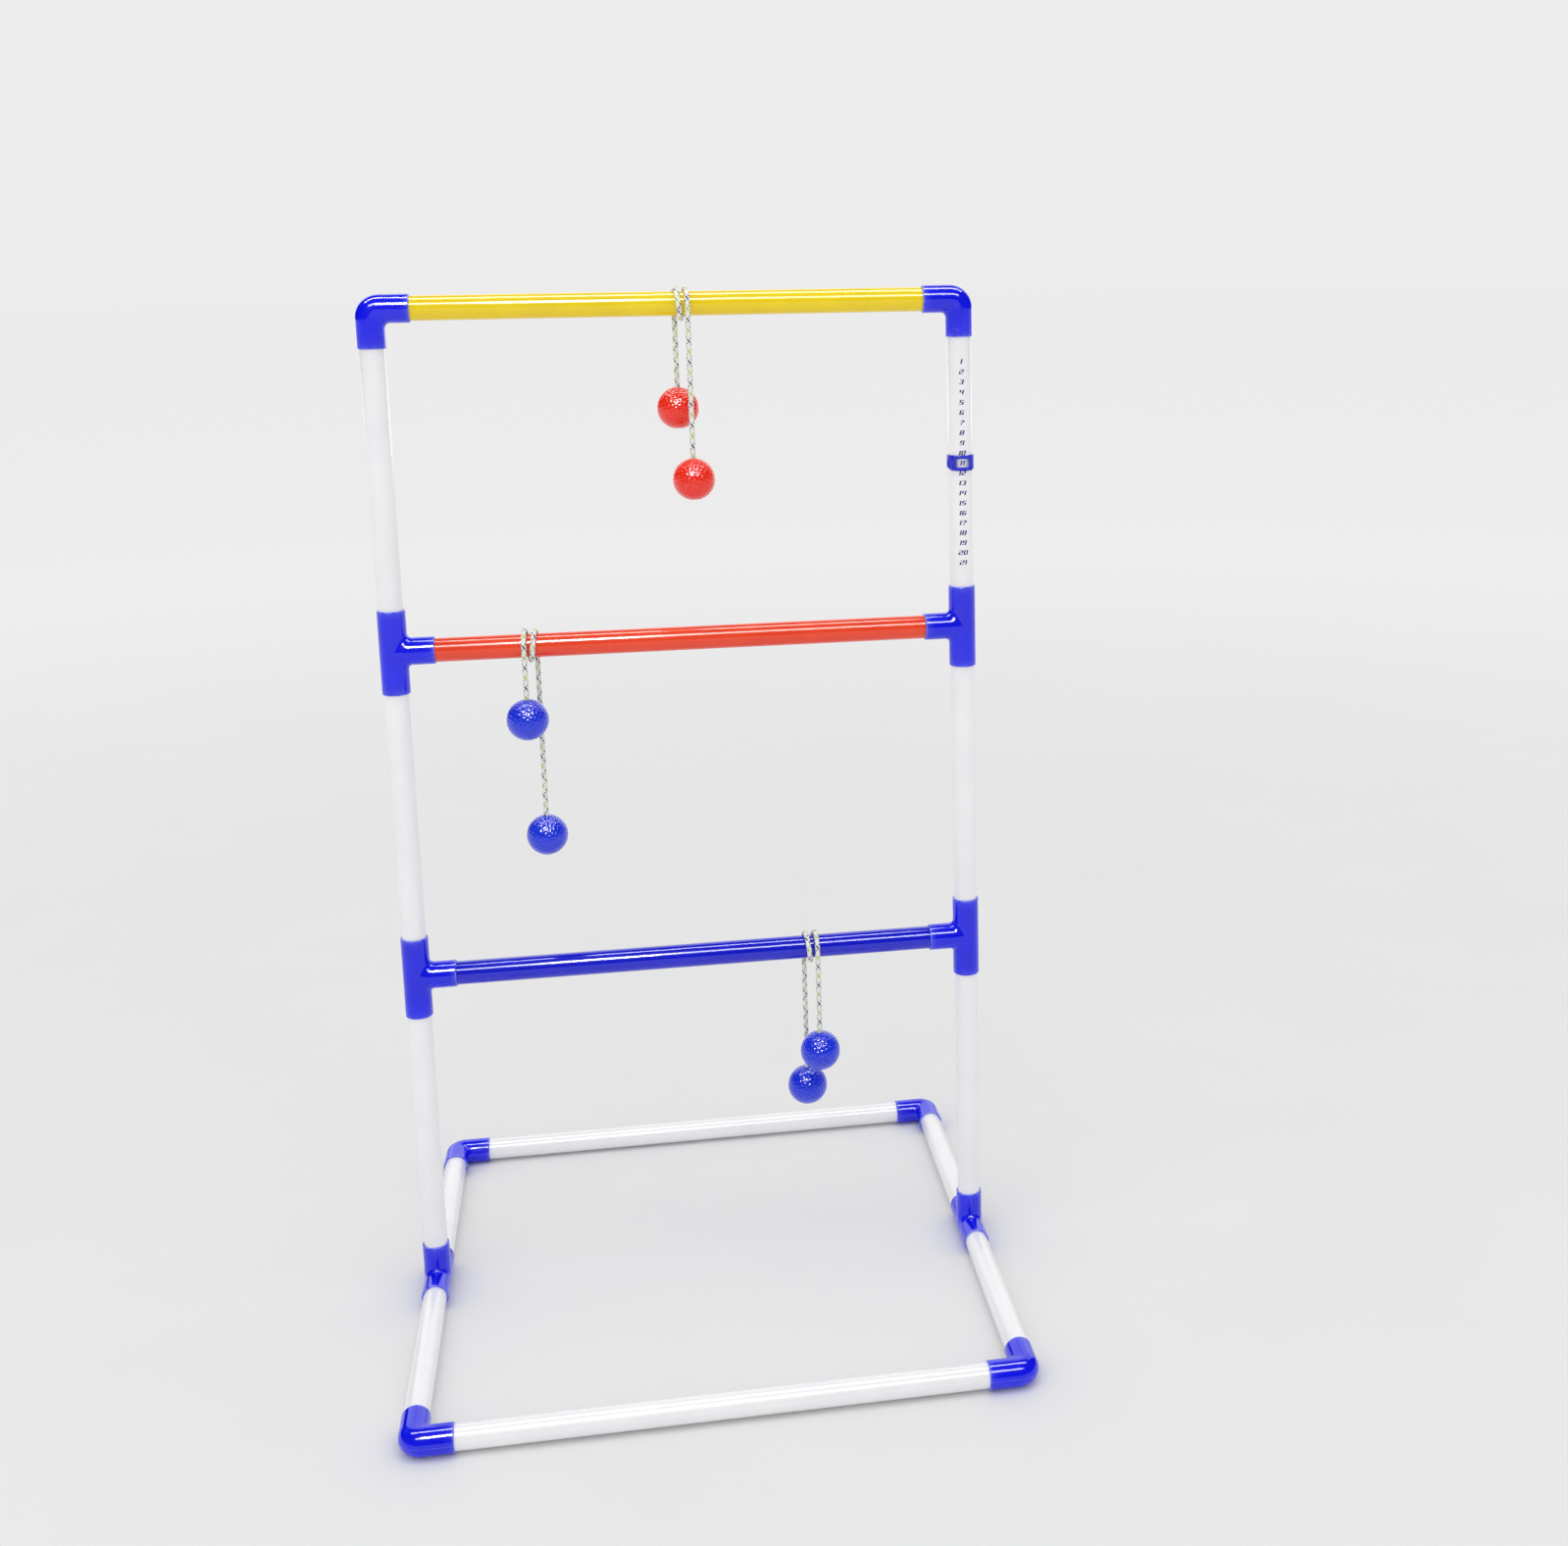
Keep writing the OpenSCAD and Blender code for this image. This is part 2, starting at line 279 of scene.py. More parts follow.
def rope_material():
    material, pen, shader = new_material("braided_cord", 0.62, Sheen_Weight=0.35, Sheen_Roughness=0.4)
    places = pen.node("ShaderNodeTexCoord", out=3)
    # The yarn attribute carries the yarn colours with painted shade in the braid's grooves.
    yarn = pen.node("ShaderNodeAttribute", {"attribute_name": "yarn"})
    fluff = pen.noise(places, 2600, 2)
    dirt = pen.noise(places, 60, 4).between(0.52, 0.75) * 0.3
    soiled = dirt.node("ShaderNodeMix", {"data_type": "RGBA", "blend_type": "MULTIPLY"},
                       {0: dirt, 6: yarn, 7: (0.72, 0.68, 0.58, 1)}, out=2)
    plug(shader, "Base Color", soiled)
    plug(shader, "Roughness", 0.5 + 0.25 * fluff)
    add_bump(pen, shader, fluff, 0.5, 0.15 * MM)
    return material


cord_finish = rope_material()
for name in bolas:
    line = rope_route(name, ring_step)
    rope = braided_tube(f"{name}_rope", line, rope_r + rope_crown, cord_finish, braid_pitch, ring_points)
    ends = strand_ends(name)
    x, y, drop = ends["front"]
    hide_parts(f"{name}_bola_rope")
    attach(rope, f"{name}_bola")
    rung_z[name] - drop + ball_r


# ------------------------------------------------- tubes: rungs, uprights, base
# Every straight piece is cut from one extruded plastic tube, 24.5 mm across with a 1.6 mm
# wall, and its sawn ends are lightly rounded. The rungs are coloured right through, yellow,
# orange-red and blue from the top down, and the uprights and the base are white.
def new_tree(name, **inputs):
    """A Geometry Nodes tree with those named inputs: its first wire, and the inputs' wires."""
    tree = bpy.data.node_groups.new(name, "GeometryNodeTree")
    tree.is_modifier = True
    for label, kind in inputs.items():
        tree.interface.new_socket(label.replace("_", " "), in_out="INPUT", socket_type=f"NodeSocket{kind}")
    tree.interface.new_socket("Mesh", in_out="OUTPUT", socket_type="NodeSocketGeometry")
    entry = tree.nodes.new("NodeGroupInput")
    pen = Wire(tree)
    return pen, {label: Wire(tree, entry.outputs[label.replace("_", " ")]) for label in inputs}


def end_tree(shape, material):
    """Ends a tree with Realize Instances and Set Material, joined to its output."""
    whole = shape.node("GeometryNodeRealizeInstances", {}, {0: shape})
    coated = shape.node("GeometryNodeSetMaterial", {}, {"Geometry": whole, "Material": material})
    leave = shape.tree.nodes.new("NodeGroupOutput")
    shape.tree.links.new(coated.socket, leave.inputs[0])


def grown(tree, name, base=None, **values):
    """The plain mesh that a tree makes from base and those inputs."""
    host = bpy.data.objects.new("host", base or bpy.data.meshes.new("host"))
    bpy.context.scene.collection.objects.link(host)
    modifier = host.modifiers.new("nodes", "NODES")
    modifier.node_group = tree
    for item in tree.interface.items_tree:
        label = item.name.replace(" ", "_")
        if item.in_out == "INPUT" and label in values:
            modifier[item.identifier] = values[label]
    mesh = bpy.data.meshes.new_from_object(host.evaluated_get(bpy.context.evaluated_depsgraph_get()))
    mesh.name = name
    bpy.data.objects.remove(host)
    return mesh


def place_mesh(name, mesh, matrix):
    """A piece whose place is in its mesh, the way every finished piece is."""
    mesh.transform(matrix)
    piece = bpy.data.objects.new(name, mesh)
    bpy.context.scene.collection.objects.link(piece)
    return piece


def tube_tree():
    """A wall section with rounded corners, swept round a circle, so the tube lies along Z."""
    pen, given = new_tree("cut_tube", Length="Float", Outer_Radius="Float", Wall="Float",
                          End_Round="Float", Sides="Int", Material="Material")
    ring = pen.node("GeometryNodeCurvePrimitiveCircle", {}, {
        "Resolution": given["Sides"], "Radius": given["Outer_Radius"] - given["Wall"] * 0.5})
    wall = pen.node("GeometryNodeCurvePrimitiveQuadrilateral", {}, {
        "Width": given["Wall"], "Height": given["Length"]})
    eased = pen.node("GeometryNodeFilletCurve", {"mode": "POLY"}, {
        "Curve": wall, "Count": 3, "Radius": given["End_Round"]})
    tube = pen.node("GeometryNodeCurveToMesh", {}, {"Curve": ring, "Profile Curve": eased})
    smooth = pen.node("GeometryNodeSetShadeSmooth", {}, {"Geometry": tube})
    kept = pen.node("GeometryNodeStoreNamedAttribute", {"data_type": "FLOAT_VECTOR", "domain": "POINT"}, {
        "Geometry": smooth, "Name": "cut", "Value": pen.node("GeometryNodeInputPosition")})
    end_tree(kept, given["Material"])
    return pen.tree


def tube_material(name, colour, shade, roughness, marks, mark_colour):
    """Extruded plastic: die lines along the tube, faint clouding, and dull rubbed patches."""
    material, pen, shader = new_material(name, roughness, Coat_Weight=0.25, Coat_Roughness=0.08)
    cut = pen.node("ShaderNodeAttribute", {"attribute_name": "cut"}, out=1)
    places = pen.node("ShaderNodeTexCoord", out=3)
    stretched = pen.node("ShaderNodeMapping", {}, {"Vector": cut, "Scale": (1, 1, 0.012)})
    drawn = pen.noise(stretched, 900, 2)
    cloud = pen.noise(places, 22, 4)
    rub = pen.noise(places, 170, 5).between(0.60, 0.74) * pen.noise(places, 14, 2).between(0.54, 0.68)
    tone = cloud.between(0.3, 0.7).tint((*shade, 1), (*colour, 1))
    plug(shader, "Base Color", (rub * marks).tint(tone, (*mark_colour, 1)))
    plug(shader, "Roughness", roughness - 0.03 + cloud * 0.04 + drawn * 0.03 + rub * 0.16)
    add_bump(pen, shader, drawn, 0.05, 0.02 * MM)
    return material


tube_wall = 1.6 * MM
tube_end_round = 0.45 * MM
tube_sides = 96
tubes = tube_tree()
tube_finish = {
    "tube_white": tube_material("white_tube", (0.90, 0.90, 0.915), (0.87, 0.87, 0.89), 0.24, 0.10,
                                (0.55, 0.55, 0.56)),
    "rung_yellow": tube_material("yellow_tube", (0.90, 0.67, 0.002), (0.86, 0.62, 0.002), 0.16, 0.07,
                                 (0.93, 0.82, 0.30)),
    "rung_orange_red": tube_material("orange_red_tube", (0.88, 0.062, 0.014), (0.83, 0.050, 0.011), 0.16,
                                     0.06, (0.90, 0.26, 0.16)),
    "rung_blue": tube_material("blue_tube", (0.004, 0.008, 0.62), (0.003, 0.006, 0.56), 0.14, 0.05,
                               (0.12, 0.15, 0.72)),
}
rung_slots = {"top_rung": "rung_yellow", "middle_rung": "rung_orange_red", "bottom_rung": "rung_blue"}
both_sides = ("left", "right")
white_nodes = [f"{side}_upright_{place}" for side in both_sides for place in ("lower", "middle", "upper")]
white_nodes += [f"{side}_{end}_base_tube" for side in both_sides for end in ("front", "rear")]
white_nodes += ["front_rail", "rear_rail"]
for node in [*rung_slots, *white_nodes]:
    finish = rung_slots.get(node, "tube_white")
    low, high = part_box(node)
    size = Vector(high) - Vector(low)
    run = max(range(3), key=lambda axis: size[axis])
    mesh = grown(tubes, node, Length=size[run], Outer_Radius=rung_r, Wall=tube_wall,
                 End_Round=tube_end_round, Sides=tube_sides, Material=tube_finish[finish])
    lie = (Matrix.Rotation(math.pi / 2, 4, "Y"), Matrix.Rotation(-math.pi / 2, 4, "X"), Matrix())[run]
    tube = place_mesh(f"{node}_tube", mesh, Matrix.Translation(centre_of(node)) @ lie)
    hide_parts(node)
    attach(tube, "root")


# ------------------------------------------------------ moulded elbows and tees
# The tubes push into glossy blue moulded fittings, 28 mm across, as far as a shoulder 22 mm
# down each socket. Each is moulded in one piece with a rounded rim, a small fillet where its
# legs meet, and the fine raised line where the two halves of its mould closed.
fitting_r = 14 * MM
socket_r = 12.3 * MM
passage_r = 8.5 * MM
socket_depth = 22 * MM
bend_r = 9 * MM
elbow_leg = 38.5 * MM
tee_run = 43 * MM
tee_branch = 41 * MM
rim_round = 0.95 * MM
mould_line_h, mould_line_w = 0.11 * MM, 0.24 * MM
blend_zone = 22 * MM
straight_rings = 7
socket_sides = 72
edge_break = 0.3 * MM
lead_in = 8 * MM
rub_and_highlight_reach = 2.5 * MM
crotch_fillet = 5 * MM


def blended(a, b, k):
    """The nearer of two distances, rounded where they are within k of each other."""
    k = np.maximum(k, 1e-9)
    h = np.clip(0.5 + 0.5 * (b - a) / k, 0, 1)
    return b + (a - b) * h - k * h * (1 - h)


def elbow_distance(points, r, fillet):
    """Distance from a bent bar with legs along +X and +Z and a wide outer bend."""
    x, y, z = points.T
    along_x, along_z = np.hypot(y, z) - r, np.hypot(x, y) - r
    bend = np.hypot(np.hypot(x - bend_r, z - bend_r) - bend_r, y) - r
    inside = np.clip((np.minimum(x, z) - bend_r) / (3 * MM), 0, 1)
    crotch = blended(along_x, along_z, fillet * inside)
    legs = np.where(z < bend_r, along_x, np.where(x < bend_r, along_z, crotch))
    return np.where((x < bend_r) & (z < bend_r), bend, legs)


def tee_distance(points, r, fillet):
    """Distance from a bar along Z with a branch along +X."""
    x, y, z = points.T
    run, branch = np.hypot(x, y) - r, np.hypot(y, z) - r
    open_side = np.clip(x / (0.7 * r), 0, 1) ** 2
    return np.where(x > 0, blended(run, branch, fillet * open_side), run)


def settled(points, distance, r, fillet):
    """The points moved to where the distance is nought, with the directions that face outwards."""
    step = 0.01 * MM
    for _ in range(8):
        slope = np.stack([
            distance(points + nudge, r, fillet) - distance(points - nudge, r, fillet)
            for nudge in np.eye(3) * step], axis=1) / (2 * step)
        slope = slope / np.maximum(np.linalg.norm(slope, axis=1, keepdims=True), 1e-6)
        points = points - distance(points, r, fillet)[:, None] * slope
    return points, slope


def ring_angles():
    """Even steps round a socket, with extra ones on the two sides where the mould closed."""
    even = np.arange(socket_sides) * 2 * math.pi / socket_sides
    extra = [side + off for side in (0, math.pi) for off in (-0.034, -0.016, 0.016, 0.034)]
    return np.sort(np.concatenate([even, np.array(extra) % (2 * math.pi)]))


def arm(length, seam, axes, distance):
    """One leg of a fitting, from its outer seam over the rim and down the socket to its inner seam."""
    angle = ring_angles()
    c, s = np.cos(angle), np.sin(angle)
    rings, wear_and_highlight = [], []

    def add(z, r, worn):
        rings.append(np.column_stack([r * c, r * s, z * np.ones_like(angle)]))
        wear_and_highlight.append(np.full(len(angle), worn))

    outer_seam = seam(fitting_r * c)
    for t in np.linspace(0, 1, 16) ** 1.4:
        add(outer_seam + (blend_zone - outer_seam) * t, fitting_r, 0)
    blended_rings = len(rings)
    # Painted highlight and wear: rings near the rim, the rim itself and the socket mouth are marked to be
    # painted paler, as rubbed wear and as the bright edge of light on them.
    for z in np.linspace(blend_zone, length - rim_round, straight_rings + 1)[1:]:
        add(z, fitting_r, 0.5 * math.exp(-(length - z) / rub_and_highlight_reach))
    for t in np.linspace(0, 1, 6)[1:] * math.pi / 2:
        add(length - rim_round * (1 - math.sin(t)), fitting_r - rim_round * (1 - math.cos(t)), 1)
    for drop, grow in ((0, 0.42), (0.12, 0.18), (0.4, 0)):
        add(length - drop * MM, socket_r + grow * MM, 0.8)
    shoulder = length - socket_depth
    for z, r in ((length - lead_in, socket_r), (shoulder + edge_break, socket_r),
                 (shoulder, socket_r - edge_break), (shoulder, passage_r + edge_break),
                 (shoulder - edge_break, passage_r)):
        add(z, r, 0)
    bored_rings = len(rings)
    inner_seam = seam(passage_r * c)
    for t in np.linspace(1, 0, 8)[1:]:
        add(inner_seam + (shoulder - edge_break - inner_seam) * t, passage_r, 0)

    points = np.array(rings) @ np.array(axes)
    wear_and_highlight = np.array(wear_and_highlight)
    outside, inside = points[:blended_rings], points[bored_rings:]
    shape = outside.shape
    moved, facing = settled(outside.reshape(-1, 3), distance, fitting_r, crotch_fillet)
    points[:blended_rings] = moved.reshape(shape)
    bored, _ = settled(inside.reshape(-1, 3), distance, passage_r, 0)
    points[bored_rings:] = bored.reshape(inside.shape)
    # The mould line stands up from the outside, on the plane that both legs lie in
    outward = np.array([np.column_stack([c, s, 0 * c])] * len(rings)) @ np.array(axes)
    outward[:blended_rings] = facing.reshape(shape)
    lined = blended_rings + straight_rings
    ridge = np.exp(-(points[:lined, :, 1] / mould_line_w) ** 2)
    points[:lined] += outward[:lined] * (mould_line_h * ridge)[:, :, None]
    # The mould line is painted paler with the same mark.
    wear_and_highlight[:lined] = np.maximum(wear_and_highlight[:lined], 0.55 * ridge)
    n, m = wear_and_highlight.shape
    index = np.arange(n * m).reshape(n, m)
    turned = np.roll(index, -1, axis=1)
    faces = np.stack([index[:-1], turned[:-1], turned[1:], index[1:]], axis=-1).reshape(-1, 4)
    return points.reshape(-1, 3), faces, wear_and_highlight.ravel()


def fitting_mesh(name, arms, distance, material):
    """Arms joined at their seams into one closed mesh."""
    points, faces, wear_and_highlight, start = [], [], [], 0
    for length, seam, axes in arms:
        p, f, w = arm(length, seam, axes, distance)
        points.append(p)
        faces += (f + start).tolist()
        wear_and_highlight.append(w)
        start += len(p)
    piece = add_piece(name, np.concatenate(points), faces, material)
    paint_points(piece, "worn", np.concatenate(wear_and_highlight))
    mesh = piece.data
    bpy.data.objects.remove(piece)
    work = bmesh.new()
    work.from_mesh(mesh)
    bmesh.ops.remove_doubles(work, verts=work.verts, dist=0.002 * MM)
    bmesh.ops.recalc_face_normals(work, faces=work.faces)
    work.to_mesh(mesh)
    work.free()
    return mesh


def moulded_material(name, colour, worn_and_highlight_colour, roughness):
    """Glossy moulded plastic: a slight orange peel, flow clouding, and paler rims, partly rubbed wear and
    partly a painted highlight on their edges.
    """
    material, pen, shader = new_material(
        name, roughness, Coat_Weight=0.4, Coat_Roughness=0.05, Specular_IOR_Level=0.4)
    places = pen.node("ShaderNodeTexCoord", out=3)
    worn = pen.node("ShaderNodeAttribute", {"attribute_name": "worn"}, out=2)
    flow = pen.noise(places, 30, 4)
    peel = pen.noise(places, 420, 2)
    # Painted highlight and wear: the marked rims and mould line take the paler colour, in broken patches.
    chafe_and_highlight = worn * pen.noise(places, 160, 3).between(0.15, 0.65)
    scuff = pen.noise(places, 95, 5).between(0.62, 0.74) * pen.noise(places, 17, 2).between(0.52, 0.62)
    deep = flow.between(0.3, 0.7).tint(tuple(0.86 * part for part in colour) + (1,), (*colour, 1))
    plug(shader, "Base Color", (chafe_and_highlight * 0.55 + scuff * 0.05).tint(deep, (*worn_and_highlight_colour, 1)))
    plug(shader, "Roughness", roughness + flow * 0.04 + chafe_and_highlight * 0.25 + scuff * 0.18)
    add_bump(pen, shader, peel + scuff * 0.3, 0.08, 0.03 * MM)
    return material


# Its pale second colour is rubbed wear and a painted highlight on the rims.
fitting_finish = moulded_material("blue_moulding", (0.003, 0.006, 0.84), (0.36, 0.42, 0.95), 0.12)
along_x, along_z = np.array(((0, 0, 1), (0, 1, 0), (1, 0, 0))), np.eye(3)
elbow_shape = fitting_mesh("elbow", [
    (elbow_leg, lambda reach: reach, along_x),
    (elbow_leg, lambda reach: reach, along_z),
], elbow_distance, fitting_finish)
tee_shape = fitting_mesh("tee", [
    (tee_run, lambda reach: np.maximum(reach, 0), along_z),
    (tee_run, lambda reach: np.maximum(reach, 0), along_z * (1, 1, -1)),
    (tee_branch, np.abs, along_x),
], tee_distance, fitting_finish)


def fitting_place(node, first, second, both_ways=False):
    """Matrix that puts a fitting on its node: X of its mesh along first, Z along second."""
    low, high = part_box(node)
    corner = centre_of(node)
    for way in (first,) if both_ways else (first, second):
        axis = max(range(3), key=lambda i: abs(way[i]))
        corner[axis] = low[axis] + fitting_r if way[axis] > 0 else high[axis] - fitting_r
    x, z = Vector(first), Vector(second)
    return Matrix.Translation(corner) @ Matrix((x, z.cross(x), z)).transposed().to_4x4()


inward = {"left": (1, 0, 0), "right": (-1, 0, 0)}
fittings = {}
for side, way in inward.items():
    fittings[f"{side}_top_elbow"] = (elbow_shape, way, (0, 0, -1), False)
    fittings[f"front_{side}_elbow"] = (elbow_shape, way, (0, 1, 0), False)
    fittings[f"rear_{side}_elbow"] = (elbow_shape, way, (0, -1, 0), False)
    fittings[f"{side}_middle_tee"] = (tee_shape, way, (0, 0, 1), True)
    fittings[f"{side}_bottom_tee"] = (tee_shape, way, (0, 0, 1), True)
    fittings[f"{side}_base_tee"] = (tee_shape, (0, 0, 1), (0, 1, 0), True)
for node, (shape, first, second, both_ways) in fittings.items():
    fitting = place_mesh(f"{node}_moulding", shape.copy(), fitting_place(node, first, second, both_ways))
    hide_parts(node)
    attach(fitting, "root")


# ---------------------------------------------------------- score numbers
# The numbers 1 to 21 are pad-printed in dark blue ink down the front of the right upper
# upright, in wide, square, leaning figures with heavy upright strokes and light bars. Each
# figure is a thin film of ink wrapped on the tube, drawn on a grid of cells five high.
figures = {
    "0": ("#####", "#...#", "#...#", "#...#", "#####"),
    "1": ("##", ".#", ".#", ".#", ".#"),
    "2": ("#####", "....#", "#####", "#....", "#####"),
    "3": ("#####", "....#", ".####", "....#", "#####"),
    "4": ("#...#", "#...#", "#####", "....#", "....#"),
    "5": ("#####", "#....", "#####", "....#", "#####"),
    "6": ("#####", "#....", "#####", "#...#", "#####"),
    "7": ("#####", "...##", "..##.", ".##..", ".##.."),
    "8": ("#####", "#...#", "#####", "#...#", "#####"),
    "9": ("#####", "#...#", "#####", "....#", "#####"),
}
last_score = 21
broad, narrow = 1.5 * MM, 0.52 * MM
bar_h, open_h = 0.62 * MM, 1.4 * MM
row_heights = (bar_h, open_h, bar_h, open_h, bar_h)
figure_gap = 0.75 * MM
lean = math.tan(math.radians(16))
ink = 0.06 * MM
score_pitch = 10.45 * MM
first_below_elbow = 25 * MM


def on_tube(u, v, height, z):
    """A point of the print: u round the front of the tube, v up it, height off its surface."""
    angle = (u + v * lean) / rung_r
    r = rung_r + height
    return (r * math.sin(angle), -r * math.cos(angle), v + z)


def column_widths(figure):
    """Upright strokes are broader than the cells between them."""
    columns = len(figures[figure][0])
    return [broad if i in (columns - 1, 5 - columns) else narrow for i in range(columns)]


def add_figure(work, figure, left, z):
    """A closed film of inked cells, with walls only round its outline. Returns its right edge."""
    rows = figures[figure]
    widths = column_widths(figure)
    edges = [left + sum(widths[:i]) for i in range(len(widths) + 1)]
    inked = {(i, j) for j, row in enumerate(rows) for i, mark in enumerate(row) if mark == "#"}
    for i, j in inked:
        high = sum(row_heights) / 2 - sum(row_heights[:j])
        low = high - row_heights[j]
        ring = [(edges[i], low), (edges[i + 1], low), (edges[i + 1], high), (edges[i], high)]
        top = [work.verts.new(on_tube(u, v, ink, z)) for u, v in ring]
        base = [work.verts.new(on_tube(u, v, -ink, z)) for u, v in ring]
        work.faces.new(top)
        work.faces.new(base[::-1])
        for side, beside in enumerate(((i, j + 1), (i + 1, j), (i, j - 1), (i - 1, j))):
            if beside not in inked:
                after = (side + 1) % 4
                work.faces.new((top[after], top[side], base[side], base[after]))
    return edges[-1]


def add_number(work, number, z):
    """One printed number, centred on the front of the tube at height z."""
    digits = str(number)
    wide = sum(sum(column_widths(figure)) for figure in digits) + figure_gap * (len(digits) - 1)
    left = -wide / 2
    for figure in digits:
        left = add_figure(work, figure, left, z) + figure_gap


def ink_material():
    material, pen, shader = new_material("dark_blue_ink", 0.4)
    places = pen.node("ShaderNodeTexCoord", out=3)
    thin = pen.noise(places, 1500, 3).between(0.35, 0.8)
    plug(shader, "Base Color", thin.tint((0.006, 0.008, 0.15, 1), (0.012, 0.016, 0.22, 1)))
    plug(shader, "Roughness", 0.34 + 0.15 * thin)
    add_bump(pen, shader, thin, 0.1, 0.02 * MM)
    return material


upright = centre_of("right_upright_upper")
elbow_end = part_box("right_top_elbow")[0][2]
work = bmesh.new()
for score in range(1, last_score + 1):
    add_number(work, score, elbow_end - first_below_elbow - (score - 1) * score_pitch)
bmesh.ops.remove_doubles(work, verts=work.verts, dist=0.01 * MM)
mesh = bpy.data.meshes.new("score_numbers")
work.to_mesh(mesh)
work.free()
mesh.materials.append(ink_material())
numbers = place_mesh("score_numbers", mesh, Matrix.Translation((upright.x, upright.y, 0)))
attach(numbers, "root")


# ----------------------------------------------------------- score slider
# A blue moulded clip snaps round the upright from the front and slides along it. It is a
# sleeve with a slot down its back and its two lower corners cut off, and a raised bezel in
# front round the window that shows one number.
slider_low, slider_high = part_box("score_slider")
slider_z = (slider_low[2] + slider_high[2]) / 2
slider_h = slider_high[2] - slider_low[2]
sleeve_r = 14.3 * MM
sleeve_bore = 12.45 * MM
slot_w = 14 * MM
sleeve_chamfer = 0.4 * MM
corner_cut_w, corner_cut_h = 3.6 * MM, 3.2 * MM
bezel_w, bezel_h, bezel_corner, bezel_proud = 20 * MM, 14 * MM, 3 * MM, 0.8 * MM
window_w, window_h = 13.5 * MM, 9 * MM
turned_sides = 96


def lathe(name, profile, sides):
    """A solid of revolution about Z, from (radius, height) pairs that start and end on the axis."""
    points, faces = [], []
    inner = profile[1:-1]
    for r, z in inner:
        points += [(r * math.cos(a), r * math.sin(a), z) for a in np.arange(sides) * 2 * math.pi / sides]
    for row in range(len(inner) - 1):
        for i in range(sides):
            j = (i + 1) % sides
            faces.append((row * sides + i, row * sides + j, (row + 1) * sides + j, (row + 1) * sides + i))
    foot, crown = len(points), len(points) + 1
    points += [(0, 0, profile[0][1]), (0, 0, profile[-1][1])]
    last = (len(inner) - 1) * sides
    for i in range(sides):
        j = (i + 1) % sides
        faces += [(foot, j, i), (crown, last + i, last + j)]
    return add_piece(name, points, faces, None)


def block(name, outline, y0, y1):
    """A prism along Y from an outline in X and Z, anticlockwise as seen from the front."""
    n = len(outline)
    points = [(x, y0, z) for x, z in outline] + [(x, y1, z) for x, z in outline]
    faces = [tuple(range(n)), tuple(range(2 * n - 1, n - 1, -1))]
    faces += [(i, i + n, (i + 1) % n + n, (i + 1) % n) for i in range(n)]
    return add_piece(name, points, faces, None, smooth=False)


def oblong(w, h, cut=0.0):
    """Corners of a rectangle in X and Z, with its two lower corners cut off."""
    a, b = w / 2, h / 2
    lower = [(-a, -b), (a, -b)] if not cut else [(-a, -b + cut), (-a + cut, -b), (a - cut, -b), (a, -b + cut)]
    return [*lower, (a, b), (-a, b)]


def flatten_modifiers(piece):
    """Makes what the modifiers of a piece do its plain mesh."""
    mesh = bpy.data.meshes.new_from_object(piece.evaluated_get(bpy.context.evaluated_depsgraph_get()))
    piece.modifiers.clear()
    piece.data = mesh


def carve(piece, cutter, operation):
    """Joins or cuts one solid with another, and throws the second away."""
    change = piece.modifiers.new("carve", "BOOLEAN")
    change.object = cutter
    change.operation = operation
    change.solver = "EXACT"
    flatten_modifiers(piece)
    bpy.data.objects.remove(cutter)


half = slider_h / 2
clip = lathe("score_slider_clip", [
    (0, -half), (sleeve_r - sleeve_chamfer, -half), (sleeve_r, -half + sleeve_chamfer),
    (sleeve_r, half - sleeve_chamfer), (sleeve_r - sleeve_chamfer, half), (0, half)], turned_sides)
carve(clip, block("bezel", oblong(bezel_w, bezel_h, bezel_corner), -sleeve_r - bezel_proud, 0), "UNION")
carve(clip, lathe("bore", [
    (0, -slider_h), (sleeve_bore, -slider_h),
    (sleeve_bore, slider_h), (0, slider_h)], turned_sides), "DIFFERENCE")
carve(clip, block("slot", oblong(slot_w, 2 * slider_h), 0, 2 * sleeve_r), "DIFFERENCE")
carve(clip, block("window", oblong(window_w, window_h), -2 * sleeve_r, 0), "DIFFERENCE")
for side in (-1, 1):
    corner = [(side * (sleeve_r - 2 * corner_cut_w), -half - corner_cut_h),
              (side * (sleeve_r + corner_cut_w), -half - corner_cut_h),
              (side * (sleeve_r + corner_cut_w), -half + 2 * corner_cut_h)]
    carve(clip, block("corner", corner[::side], -2 * sleeve_r, 2 * sleeve_r), "DIFFERENCE")
soften = clip.modifiers.new("soften", "BEVEL")
soften.width = 0.32 * MM
soften.segments = 3
soften.limit_method = "ANGLE"
soften.angle_limit = math.radians(32)
soften.harden_normals = False
flatten_modifiers(clip)
clip.data.polygons.foreach_set("use_smooth", [True] * len(clip.data.polygons))
clip.data.set_sharp_from_angle(angle=math.radians(40))
clip.data.materials.clear()
slider_finish = moulded_material("slider_moulding", (0.006, 0.013, 0.62), (0.10, 0.14, 0.82), 0.2)
clip.data.materials.append(slider_finish)
clip.data.transform(Matrix.Translation((upright.x, upright.y, slider_z)))
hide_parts("score_slider")
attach(clip, "score_slider")


# -------------------------------------------------------------- bola balls
# The balls are golf balls, 42.67 mm across, with 362 moulded dimples under a glossy coat of
# red or blue. Each is drilled through for the rope, with a wide pocket below for its knot.
dimple_count = 6
ball_mesh_count = 72
dimple_r = 1.86 * MM
dimple_depth = 0.27 * MM
bore_r = 2.8 * MM
pocket_r = 5.0 * MM
mouth_round = 0.5 * MM
drill_sides = 48


